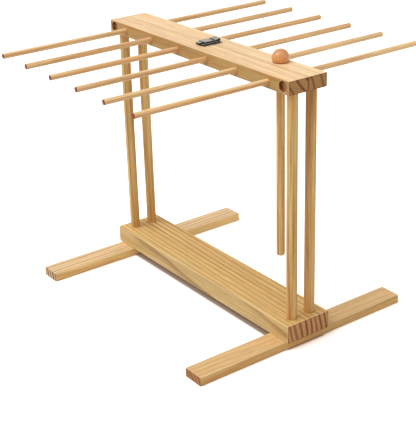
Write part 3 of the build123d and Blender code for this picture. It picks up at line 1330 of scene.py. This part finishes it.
class StickWorks:
    """The Geometry Nodes tree that turns every straight stick of the rack.

    Attributes:
        ease_steps: The facets of a rounded end.
        sides: The number of faces round a stick.
        seed_most: The largest number that a stick's place in its tree is drawn from.
    """

    ease_steps = 4
    sides = 40
    seed_most = 30.0

    def __init__(self) -> None:
        """Builds the tree."""
        tree = GeometryTree("turned_sticks")
        self.tree = tree
        radius = tree.input("Radius", "Float")
        length = tree.input("Length", "Float")
        ease = tree.input("Ease", "Float")
        row = tree.input("Row", "Int")
        total = tree.input("Total", "Int")
        start = tree.input("Start", "Vector")
        row_step = tree.input("Row Step", "Vector")
        next_step = tree.input("Next Step", "Vector")
        turn = tree.input("Turn", "Vector")
        seed = tree.input("Seed", "Int")
        material = tree.input("Material", "Material")

        stick = self.stick(radius, length, ease)
        index = tree.index()
        line = tree.math("FLOOR", index / row)
        place = tree.vector("ADD", start, tree.vector(
            "ADD", tree.scaled(row_step, index - line * row), tree.scaled(next_step, line)))
        points = tree.node("GeometryNodePoints", None, {"Count": total, "Position": place})
        rotation = tree.node("FunctionNodeEulerToRotation", None, {"Euler": turn})
        sticks = tree.node("GeometryNodeInstanceOnPoints", None,
                           {"Points": points, "Instance": stick, "Rotation": rotation})
        where = tree.node("GeometryNodeInputPosition")
        sticks = self.stored(sticks, "stick_start", "FLOAT_VECTOR", where)
        draw = tree.node("FunctionNodeRandomValue", {"data_type": "FLOAT"},
                         {"Min_001": 0.0, "Max_001": self.seed_most, "Seed": seed}, "Value_001")
        sticks = self.stored(sticks, "stick_seed", "FLOAT", draw)
        tree.close(sticks, material)

    def stick(self, radius: Value, length: Value, ease: Value) -> Value:
        """One upright stick with rounded ends.

        Args:
            radius: Its radius.
            length: Its length.
            ease: The rounding of its ends.

        Returns:
            Its mesh, which stands on the origin.
        """
        tree = self.tree
        last = 2 * self.ease_steps + 1
        index = tree.index()
        from_end = tree.math("MINIMUM", index, last - index)
        angle = from_end / self.ease_steps * (math.pi / 2)
        inset = ease * (1 - tree.math("COSINE", angle))
        upper = tree.math("GREATER_THAN", index, last / 2)
        height = inset + (length - inset * 2) * upper
        width = radius - ease * (1 - tree.math("SINE", angle))
        tube = tree.tube(last + 1, 0, tree.combine(0.0, 0.0, height), None, width, self.sides)
        return tree.smooth_sides(tube, (0, 0, 1))

    def stored(self, sticks: Value, name: str, kind: str, value: Value) -> Value:
        """Writes a value on each stick, for the material to read.

        Args:
            sticks: The sticks, as instances.
            name: The attribute's name.
            kind: Its data type.
            value: The value.

        Returns:
            The sticks that carry it.
        """
        return self.tree.node("GeometryNodeStoreNamedAttribute",
                              {"data_type": kind, "domain": "INSTANCE"},
                              {"Geometry": sticks, "Name": name, "Value": value})

    def make(self, sticks: Sticks, material: bpy.types.Material) -> bpy.types.Object:
        """Turns rows of sticks.

        Args:
            sticks: The rows.
            material: Their finish.

        Returns:
            One piece with all of them.
        """
        return self.tree.make(sticks.name, {
            "Radius": sticks.radius, "Length": sticks.length, "Ease": sticks.ease,
            "Row": sticks.row, "Total": sticks.row * sticks.rows, "Start": sticks.start,
            "Row Step": sticks.row_step, "Next Step": sticks.next_step, "Turn": sticks.turn,
            "Seed": sticks.seed, "Material": material})


# Sub-assemblies


@dataclass
class Stand:
    """The base board with its four posts, the body that everything else plugs on."""

    works: StickWorks
    ease: float = 0.8 * MM
    hole_slack: float = 0.05 * MM
    peg_slack: float = 0.2 * MM
    peg_hole_depth: float = 7.5 * MM
    post_ease: float = 0.5 * MM
    post_seed: int = 7
    lie: Lie = Lie(pith=(-190 * MM, -42 * MM), lean=(0.03, 0.02), seed=2.0)

    def build(self) -> None:
        """Makes the base board and the posts."""
        low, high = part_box("base_board")
        first, first_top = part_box("post_near_left")
        last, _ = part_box("post_far_right")
        radius = half_width("post_near_left")
        start = first + Vector((radius, radius, 0))
        step = last - first
        depth = high.z - first.z
        cuts: list[Bore | Pocket] = []
        for x in (0, step.x):
            for y in (0, step.y):
                cuts.append(Bore(start + Vector((x, y, depth)), -UP, radius + self.hole_slack,
                                 depth))
        for end in End:
            pegs = "foot_pegs_" + end.name.lower()
            pegs_low, pegs_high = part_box(pegs)
            peg = half_width(pegs)
            for x in (pegs_low.x + peg, pegs_high.x - peg):
                mouth = Vector((x, pegs_low.y + peg, low.z))
                cuts.append(Bore(mouth, UP, peg + self.peg_slack, self.peg_hole_depth))
        board = Board("base_board", "base_board", lambda off: self.ease, cuts)
        board.ride("stand", BASE_PINE, Axis.Y, self.lie)

        posts = self.works.make(
            Sticks("posts_turned", radius, first_top.z - first.z, self.post_ease, start, 2,
                   Vector((step.x, 0, 0)), self.post_seed, 2, Vector((0, step.y, 0))),
            POST_PINE.sticks("pine_posts", Axis.Z))
        place_piece(posts, "stand", "pine_post", "post_near_left", "post_near_right",
                    "post_far_left", "post_far_right")


FOOT_LIES = {
    End.NEAR: Lie(pith=(45 * MM, -28 * MM), lean=(-0.02, 0.03), seed=4.0),
    End.FAR: Lie(pith=(70 * MM, -10 * MM), lean=(0.02, 0.03), seed=6.0)}


@dataclass
class Foot:
    """A cross foot with its two pegs."""

    works: StickWorks
    end: End
    ease: float = 0.8 * MM
    low_ease: float = 0.2 * MM
    bevel: float = 3.5 * MM
    # Painted contact shade along the foot's lowest edge, by its height.
    contact_shade: float = 1.2 * MM
    notch_length: float = 36 * MM
    notch_depth: float = 8 * MM
    notch_overrun: float = 2 * MM
    peg_ease: float = 0.5 * MM
    peg_seed: int = 11
    hole_slack: float = 0.05 * MM

    def ease_at(self, off: Vector) -> float:
        """The rounding of an edge: full on top, slight below, wide on the far foot's outer edge.

        Args:
            off: The direction in which the edge lies off the middle.

        Returns:
            Its width.
        """
        if off.z > 0.5 or abs(off.z) < 0.5:
            return self.ease
        outer = off.y * self.end.value > 0.5 and abs(off.x) < 0.5
        return self.bevel if outer and self.end is End.FAR else self.low_ease

    def build(self) -> None:
        """Makes the foot and its pegs."""
        name = self.end.name.lower()
        body = name + "_foot"
        low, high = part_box("foot_" + name)
        pegs_low, pegs_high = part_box("foot_pegs_" + name)
        radius = half_width("foot_pegs_" + name)
        start = pegs_low + Vector((radius, radius, 0))
        step = pegs_high.x - pegs_low.x - 2 * radius
        depth = high.z - pegs_low.z
        cuts: list[Bore | Pocket] = [
            Bore(start + Vector((x, 0, depth)), -UP, radius + self.hole_slack, depth)
            for x in (0, step)]
        inner = low.y if self.end is End.FAR else high.y
        reach = Vector((self.notch_length / 2, self.notch_depth, 0))
        over = Vector((0, 0, self.notch_overrun))
        cuts.append(Pocket(Vector((0, inner, low.z)) - reach - over,
                           Vector((0, inner, high.z)) + reach + over))
        board = Board(body, "foot_" + name, self.ease_at, cuts)
        pine = FOOT_PINE if self.end is End.NEAR else FAR_FOOT_PINE
        board.ride(body, pine, Axis.X, FOOT_LIES[self.end], self.contact_shade)

        pegs = self.works.make(
            Sticks(body + "_pegs_turned", radius, pegs_high.z - pegs_low.z, self.peg_ease, start,
                   2, Vector((step, 0, 0)), self.peg_seed + self.end.value),
            POST_PINE.sticks("pine_pegs_" + name, Axis.Z))
        place_piece(pegs, body, "pine_post", "foot_pegs_" + name)


RAIL_LIES = {
    Side.LEFT: Lie(pith=(66 * MM, 46 * MM), lean=(0.04, 0.02), seed=7.0, phase=0.36),
    Side.RIGHT: Lie(pith=(-84 * MM, -34 * MM), lean=(0.03, -0.02), seed=11.0, phase=-0.12)}


@dataclass
class Rail:
    """A top rail with its six drying rods."""

    works: StickWorks
    side: Side
    ease: float = 0.8 * MM
    seam_ease: float = 0.12 * MM
    socket_slack: float = 0.2 * MM
    socket_depth: float = 4.5 * MM
    post_socket_depth: float = 11 * MM
    rod_in_rail: float = 15 * MM
    rod_ease: float = 0.5 * MM
    rod_hole_sides: int = 32
    rod_seed: int = 21
    hole_slack: float = 0.05 * MM
    wand_slack: float = 0.3 * MM
    wand_overrun: float = 1 * MM
    rods: int = 6

    def ease_at(self, off: Vector) -> float:
        """The rounding of an edge: slight at the seam, full elsewhere."""
        return self.seam_ease if off.x * self.side.value < -0.5 else self.ease

    def bores(self, low: Vector, high: Vector, first_rod: Vector, step: float) -> list[Bore]:
        """The holes for the posts, the storage sockets, the rods and the wand.

        Args:
            low: The rail's lowest corner.
            high: Its highest corner.
            first_rod: A point on the first rod's axis.
            step: The distance from rod to rod.

        Returns:
            The holes.
        """
        inward = Vector((-self.side.value, 0, 0))
        face = high.x if self.side is Side.RIGHT else low.x
        post_low, post_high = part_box("post_near_" + self.side.name.lower())
        post = (post_low + post_high) / 2
        middle_z = (low.z + high.z) / 2
        socket = half_width("post_near_left") + self.socket_slack
        rod_hole = half_width("rod_left_1") + self.hole_slack
        holes = []
        for y in (post.y, -post.y):
            holes.append(Bore(Vector((post.x, y, low.z)), UP, socket, self.post_socket_depth))
            holes.append(Bore(Vector((face, y, middle_z)), inward, socket, self.socket_depth))
        for number in range(self.rods):
            mouth = Vector((face, first_rod.y + number * step, middle_z))
            holes.append(Bore(mouth, inward, rod_hole, self.rod_in_rail, self.rod_hole_sides))
        if self.side is Side.RIGHT:
            wand_low, wand_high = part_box("wand_stick")
            wand = (wand_low + wand_high) / 2
            holes.append(Bore(Vector((wand.x, wand.y, high.z)), -UP,
                              half_width("wand_stick") + self.wand_slack,
                              high.z - low.z + self.wand_overrun))
        return holes

    def build(self) -> None:
        """Makes the rail and its rods."""
        name = self.side.name.lower()
        body = name + "_rail"
        low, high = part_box("rail_" + name)
        rod_low, rod_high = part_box("rod_" + name + "_1")
        next_low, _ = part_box("rod_" + name + "_2")
        step = next_low.y - rod_low.y
        middle = (rod_low + rod_high) / 2
        board = Board("rail_" + name, "rail_" + name, self.ease_at,
                      self.bores(low, high, middle, step))
        board.ride(body, RAIL_PINE, Axis.Y, RAIL_LIES[self.side])

        inner = rod_low.x if self.side is Side.RIGHT else rod_high.x
        rods = self.works.make(
            Sticks("rods_" + name + "_turned", half_width("rod_left_1"), rod_high.x - rod_low.x,
                   self.rod_ease, Vector((inner, middle.y, middle.z)), self.rods,
                   Vector((0, step, 0)), self.rod_seed + self.side.value,
                   turn=Vector((0, math.pi / 2 * self.side.value, 0))),
            ROD_WOOD.sticks("rod_wood_" + name, Axis.X))
        place_piece(rods, body, "rod_wood",
                    *["rod_" + name + "_" + str(k + 1) for k in range(self.rods)])


@dataclass
class Wand:
    """The stick with a ball head that hangs in the right rail."""

    tip_round: float = 1.8 * MM
    rim_round: float = 0.8 * MM
    # Painted contact shade at the ball's underside, by its height.
    contact_shade: float = 2.4 * MM
    into_ball: float = 10 * MM
    slack: float = 0.05 * MM
    sides: int = 64
    tip_steps: int = 6
    rim_steps: int = 5
    ball_steps: int = 24
    stick_lie: Lie = Lie(pith=(-9 * MM, 15 * MM), lean=(0.01, 0.02), seed=31.0)
    ball_lie: Lie = Lie(pith=(14 * MM, -16 * MM), lean=(0.1, 0.05), seed=37.0)

    def stick(self, radius: float, centre: Vector) -> None:
        """Turns the stick, with its rounded tip below.

        Args:
            radius: Its radius.
            centre: The point of its axis at the floor.
        """
        low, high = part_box("wand_stick")
        core = radius - self.tip_round
        turns = [math.pi / 2 * k / self.tip_steps for k in range(self.tip_steps + 1)]
        profile = [(0.0, low.z)]
        profile += [(core + self.tip_round * math.sin(t),
                     low.z + self.tip_round * (1 - math.cos(t))) for t in turns]
        profile += [(radius, high.z), (0.0, high.z)]
        stick = lathe("wand_stick_turned", profile, centre, self.sides)
        grain = Grain(Axis.Z, centre, self.stick_lie)
        stick.data.materials.append(POST_PINE.board("pine_wand", grain))
        place_piece(stick, "wand", "pine_post", "wand_stick")

    def ball(self, stick_radius: float, centre: Vector) -> None:
        """Turns the ball, with its flat underside, rounded rim and hole.

        Args:
            stick_radius: The radius of the stick in its hole.
            centre: The point of its axis at the floor.
        """
        low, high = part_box("wand_ball")
        radius = (high.x - low.x) / 2
        middle_z = high.z - radius
        rim_z = low.z + self.rim_round
        foot = math.asin((rim_z - middle_z) / (radius - self.rim_round))
        rim = (radius - self.rim_round) * math.cos(foot)
        hole = stick_radius + self.slack
        rises = [foot + (math.pi / 2 - foot) * k / self.ball_steps
                 for k in range(self.ball_steps)]
        turns = [(foot + math.pi / 2) * k / self.rim_steps for k in range(self.rim_steps)]
        profile = [(0.0, low.z + self.into_ball), (hole, low.z + self.into_ball), (hole, low.z)]
        profile += [(rim + self.rim_round * math.sin(t), rim_z - self.rim_round * math.cos(t))
                    for t in turns]
        profile += [(radius * math.cos(r), middle_z + radius * math.sin(r)) for r in rises]
        profile += [(0.0, high.z)]
        ball = lathe("wand_ball_turned", profile, centre, self.sides)
        grain = Grain(Axis.Z, Vector((centre.x, centre.y, middle_z)), self.ball_lie,
                      contact_shade=(low.z, low.z + self.contact_shade))
        ball.data.materials.append(BALL_WOOD.board("ball_wood", grain))
        place_piece(ball, "wand", "ball_wood", "wand_ball")

    def build(self) -> None:
        """Makes the stick and the ball."""
        low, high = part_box("wand_stick")
        radius = (high.x - low.x) / 2
        centre = Vector(((low.x + high.x) / 2, (low.y + high.y) / 2, 0))
        self.stick(radius, centre)
        self.ball(radius, centre)


@dataclass
class ToggleLatch:
    """The pressed steel latch across the seam: keeper, plate, lever, wire bail and screws."""

    edge_ease: float = 0.14 * MM
    edge_deg: float = 40.0
    flat_deg: float = 1.0
    sheet: float = 1.2 * MM
    upright: float = 0.3
    wire_radius: float = 0.65 * MM
    wire_points: int = 6
    wire_steps: int = 8
    wire_sides: int = 20
    tip_y: float = 4.4 * MM
    pivot_corner: float = 1.2 * MM
    end_corner: float = 3.5 * MM
    head_radius: float = 1.7 * MM
    head_height: float = 0.8 * MM
    head_sides: int = 32
    shank_radius: float = 0.9 * MM
    shank_sides: int = 24
    slot_width: float = 0.5 * MM
    slot_depth: float = 0.35 * MM
    slot_turns: tuple[float, float] = (0.5, 1.1)
    screw_length: float = 8 * MM

    def pressed(self, node: str, name: str, body: str, steel: BlackedSteel) -> None:
        """Gives a pressed piece rounded edges, on a merged copy of its solid.

        Args:
            node: The solid.
            name: The piece's name.
            body: The body that carries it.
            steel: Its finish, worn on the rounded edges and the outer edges of the sheet.
        """
        bm = bmesh.new()
        bm.from_mesh(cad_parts[node].data)
        worn = bm.faces.layers.float.new("eased")
        bmesh.ops.remove_doubles(bm, verts=bm.verts, dist=WELD)
        bmesh.ops.dissolve_limit(bm, angle_limit=math.radians(self.flat_deg), verts=bm.verts,
                                 edges=bm.edges)
        for face in break_edges(bm, self.edge_deg, self.edge_ease, lambda edge: True):
            face[worn] = 1.0
        low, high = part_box(node)
        for face in bm.faces:
            heights = [v.co.z for v in face.verts]
            middle = face.calc_center_median()
            outside = any(min(middle[k] - low[k], high[k] - middle[k]) < self.edge_ease
                          for k in range(2))
            thin = max(heights) - min(heights) < self.sheet
            if outside and thin and abs(face.normal.z) < self.upright:
                face[worn] = 1.0
        piece = from_bmesh(name, bm)
        shade(piece)
        piece.data.materials.append(steel.dress("blacked_" + node))
        place_piece(piece, body, "black_steel", node)

    def wire_tree(self) -> GeometryTree:
        """Builds the tree that bends a wire bail: two tips, two pivot corners, two end corners.

        Returns:
            The tree.
        """
        tree = GeometryTree("bent_wire")
        radius = tree.input("Wire Radius", "Float")
        pivot_x = tree.input("Pivot X", "Float")
        end_x = tree.input("End X", "Float")
        half = tree.input("Half Width", "Float")
        tip = tree.input("Tip Y", "Float")
        height = tree.input("Height", "Float")
        pivot_corner = tree.input("Pivot Corner", "Float")
        end_corner = tree.input("End Corner", "Float")
        material = tree.input("Material", "Material")
        off = tree.index() - (self.wire_points - 1) / 2
        from_middle = tree.math("ABSOLUTE", off)
        is_end = tree.math("LESS_THAN", from_middle, 1.0)
        is_tip = tree.math("GREATER_THAN", from_middle, 2.0)
        x = pivot_x + (end_x - pivot_x) * is_end
        y = (half + (tip - half) * is_tip) * tree.math("SIGN", off)
        corner = (pivot_corner + (end_corner - pivot_corner) * is_end) * (1 - is_tip)
        wire = tree.tube(self.wire_points, self.wire_steps, tree.combine(x, y, height), corner,
                         radius, self.wire_sides)
        tree.close(tree.smooth_sides(wire, (0, 1, 0)), material)
        return tree

    def bail(self) -> None:
        """Bends the wire bail along its route."""
        low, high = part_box("latch_bail")
        radius = self.wire_radius
        piece = self.wire_tree().make("latch_bail_wire", {
            "Wire Radius": radius, "Pivot X": high.x - radius, "End X": low.x + radius,
            "Half Width": high.y - radius, "Tip Y": self.tip_y,
            "Height": (low.z + high.z) / 2, "Pivot Corner": self.pivot_corner,
            "End Corner": self.end_corner, "Material": WIRE_STEEL.dress("blacked_wire")})
        place_piece(piece, "bail", "black_steel", "latch_bail")

    def screw_tree(self) -> GeometryTree:
        """Builds the tree that sets two countersunk, slotted screws, each turned its own way.

        Returns:
            The tree.
        """
        tree = GeometryTree("slotted_screws")
        top = tree.input("Top", "Vector")
        pitch = tree.input("Pitch", "Float")
        head = tree.input("Head Radius", "Float")
        head_height = tree.input("Head Height", "Float")
        shank = tree.input("Shank Radius", "Float")
        length = tree.input("Length", "Float")
        slot = tree.input("Slot Size", "Vector")
        material = tree.input("Material", "Material")
        cone = tree.node("GeometryNodeMeshCone", None,
                         {"Vertices": self.head_sides, "Radius Top": head,
                          "Radius Bottom": shank, "Depth": head_height})
        cone = tree.raised(cone, head_height * -1)
        cutter = tree.node("GeometryNodeMeshCube", None, {"Size": slot})
        cut_head = tree.node("GeometryNodeMeshBoolean", {"operation": "DIFFERENCE"},
                             {"Mesh 1": cone, "Mesh 2": cutter})
        rod = tree.node("GeometryNodeMeshCylinder", None,
                        {"Vertices": self.shank_sides, "Radius": shank,
                         "Depth": length - head_height})
        rod = tree.raised(rod, (length + head_height) * -0.5)
        screw = tree.smooth_sides(tree.join(rod, cut_head), (0, 0, 1))
        index = tree.index()
        place = tree.vector("ADD", top, tree.combine(0.0, (index - 0.5) * pitch, 0.0))
        points = tree.node("GeometryNodePoints", None, {"Count": 2, "Position": place})
        first_turn, turn_step = self.slot_turns
        spin = tree.combine(0.0, 0.0, index * turn_step + first_turn)
        rotation = tree.node("FunctionNodeEulerToRotation", None, {"Euler": spin})
        copies = tree.node("GeometryNodeInstanceOnPoints", None,
                           {"Points": points, "Instance": screw, "Rotation": rotation})
        tree.close(copies, material)
        return tree

    def screws(self) -> None:
        """Sets the four slotted screws, two for each half of the latch."""
        tree = self.screw_tree()
        slot = Vector((4 * self.head_radius, self.slot_width, 2 * self.slot_depth))
        for half, body in (("keeper", "left_rail"), ("base", "right_rail")):
            node = "latch_" + half + "_screws"
            low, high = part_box(node)
            piece = tree.make(node + "_slotted", {
                "Top": Vector(((low.x + high.x) / 2, (low.y + high.y) / 2, high.z)),
                "Pitch": high.y - low.y - 2 * self.head_radius, "Head Radius": self.head_radius,
                "Head Height": self.head_height, "Shank Radius": self.shank_radius,
                "Length": self.screw_length, "Slot Size": slot,
                "Material": LATCH_STEEL.dress("blacked_" + node)})
            place_piece(piece, body, "black_steel", node)

    def build(self) -> None:
        """Makes the whole latch."""
        self.pressed("latch_keeper", "latch_keeper_pressed", "left_rail", LATCH_STEEL)
        self.pressed("latch_base", "latch_base_pressed", "right_rail", INNER_STEEL)
        self.pressed("latch_lever", "latch_lever_pressed", "lever", LATCH_STEEL)
        self.pressed("lever_pin", "lever_pin_turned", "right_rail", INNER_STEEL)
        self.bail()
        self.screws()


@dataclass
class Studio:
    """Pale floor, soft light and the camera."""

    floor_size: float = 8.0
    floor_sides: int = 96
    camera_place: tuple[float, float, float] = (-0.750527, -1.029387, 0.675673)
    yaw: float = 0.624322
    pitch: float = 0.41899
    roll: float = -0.029737
    focal_px: float = 1117.7
    picture_height_px: float = 422.0
    sensor: float = 36.0
    # A painted shadow under the base board: its inset, its soft edge and its colour.
    shade_inset: float = 1.5 * MM
    shade_soft: float = 3.5 * MM
    shade_colour: Colour = (0.62, 0.5, 0.42, 1.0)
    floor_colour: Colour = (0.62, 0.62, 0.62, 1.0)
    glow_colour: Colour = (1.0, 0.96, 0.93, 1.0)
    dark: Colour = (0.0, 0.0, 0.0, 1.0)
    white: Colour = (1.0, 1.0, 1.0, 1.0)
    world_strength: float = 0.52
    lamp_strength: float = 1.78
    lamp_spread_deg: float = 50.0
    lamp_azimuth_deg: float = -105.0
    lamp_height_deg: float = 58.0

    def camera(self) -> None:
        """Stands the camera where the photograph was taken from."""
        data = bpy.data.cameras.new("camera")
        data.sensor_width = self.sensor
        data.lens = self.focal_px * self.sensor / self.picture_height_px
        camera = bpy.data.objects.new("camera", data)
        bpy.context.scene.collection.objects.link(camera)
        ahead = Vector((math.sin(self.yaw) * math.cos(self.pitch),
                        math.cos(self.yaw) * math.cos(self.pitch), -math.sin(self.pitch)))
        level = Vector((math.cos(self.yaw), -math.sin(self.yaw), 0))
        above = level.cross(ahead)
        right = math.cos(self.roll) * level + math.sin(self.roll) * above
        up = math.cos(self.roll) * above - math.sin(self.roll) * level
        turn = Matrix((right, up, -ahead)).transposed().to_4x4()
        camera.matrix_world = Matrix.Translation(self.camera_place) @ turn
        bpy.context.scene.camera = camera

    def seen(self, craft: NodeCraft) -> Value:
        """1 for what the camera sees itself, in a gloss or through glass.

        Args:
            craft: The node tree to add to.

        Returns:
            The value, 0 or 1.
        """
        camera = craft.node("ShaderNodeLightPath", output="Is Camera Ray")
        seen = craft.math("MAXIMUM", camera, camera.other("Is Glossy Ray"))
        return craft.math("MAXIMUM", seen, camera.other("Is Transmission Ray"))

    def world(self) -> None:
        """Lights the scene evenly and shows white behind it."""
        world = bpy.data.worlds.new("studio")
        world.use_nodes = True
        craft = NodeCraft(world.node_tree)
        craft.tree.nodes.clear()
        strength = self.world_strength + self.seen(craft) * (1 - self.world_strength)
        light = craft.node("ShaderNodeBackground", None,
                           {"Color": self.white, "Strength": strength})
        craft.node("ShaderNodeOutputWorld", None, {"Surface": light})
        bpy.context.scene.world = world

    def floor(self) -> None:
        """Lays the floor, white where it is lit, with the shadows kept and a painted shadow under
        the base board.
        """
        bm = bmesh.new()
        bmesh.ops.create_circle(bm, cap_ends=True, segments=self.floor_sides,
                                radius=self.floor_size / 2)
        floor = from_bmesh("floor", bm)
        surface = Surface("floor_white")
        _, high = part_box("base_board")
        x, y, _ = surface.separate(surface.place())
        gap = surface.math("MINIMUM", high.x - surface.math("ABSOLUTE", x),
                           high.y - surface.math("ABSOLUTE", y))
        # Painted shadow: under the base board the floor is seen in a darker, warm colour and
        # without its glow.
        painted_shadow = surface.step(gap, self.shade_inset, self.shade_inset + self.shade_soft)
        seen = self.seen(surface)
        paint = surface.node("ShaderNodeBsdfDiffuse", None, {"Color": surface.mix(
            seen * painted_shadow, self.floor_colour, self.shade_colour)})
        bright = surface.node("ShaderNodeBsdfDiffuse", None, {"Color": surface.mix(
            seen * (1 - painted_shadow), self.dark, self.glow_colour)})
        both = surface.node("ShaderNodeAddShader", None, {"Shader": paint, "Shader_001": bright})
        surface.node("ShaderNodeOutputMaterial", None, {"Surface": both})
        floor.data.materials.append(surface.material)

    def lamp(self) -> None:
        """Adds the broad soft lamp."""
        data = bpy.data.lights.new("key_lamp", "SUN")
        data.energy = self.lamp_strength
        data.angle = math.radians(self.lamp_spread_deg)
        lamp = bpy.data.objects.new("key_lamp", data)
        bpy.context.scene.collection.objects.link(lamp)
        azimuth = math.radians(self.lamp_azimuth_deg)
        height = math.radians(self.lamp_height_deg)
        source = Vector((math.sin(azimuth) * math.cos(height),
                         -math.cos(azimuth) * math.cos(height), math.sin(height)))
        lamp.rotation_mode = "QUATERNION"
        lamp.rotation_quaternion = source.to_track_quat("Z", "Y")

    def build(self) -> None:
        """Sets up the whole studio."""
        self.camera()
        self.world()
        self.floor()
        self.lamp()
        bpy.context.scene.view_settings.view_transform = "Standard"


def main() -> None:
    """Builds the studio and the rack's sub-assemblies in order."""
    logging.basicConfig(level=logging.INFO, format="%(name)s: %(message)s")
    Studio().build()
    works = StickWorks()
    Stand(works).build()
    for end in End:
        Foot(works, end).build()
    for side in Side:
        Rail(works, side).build()
    Wand().build()
    ToggleLatch().build()


if __name__ == "__main__":
    main()
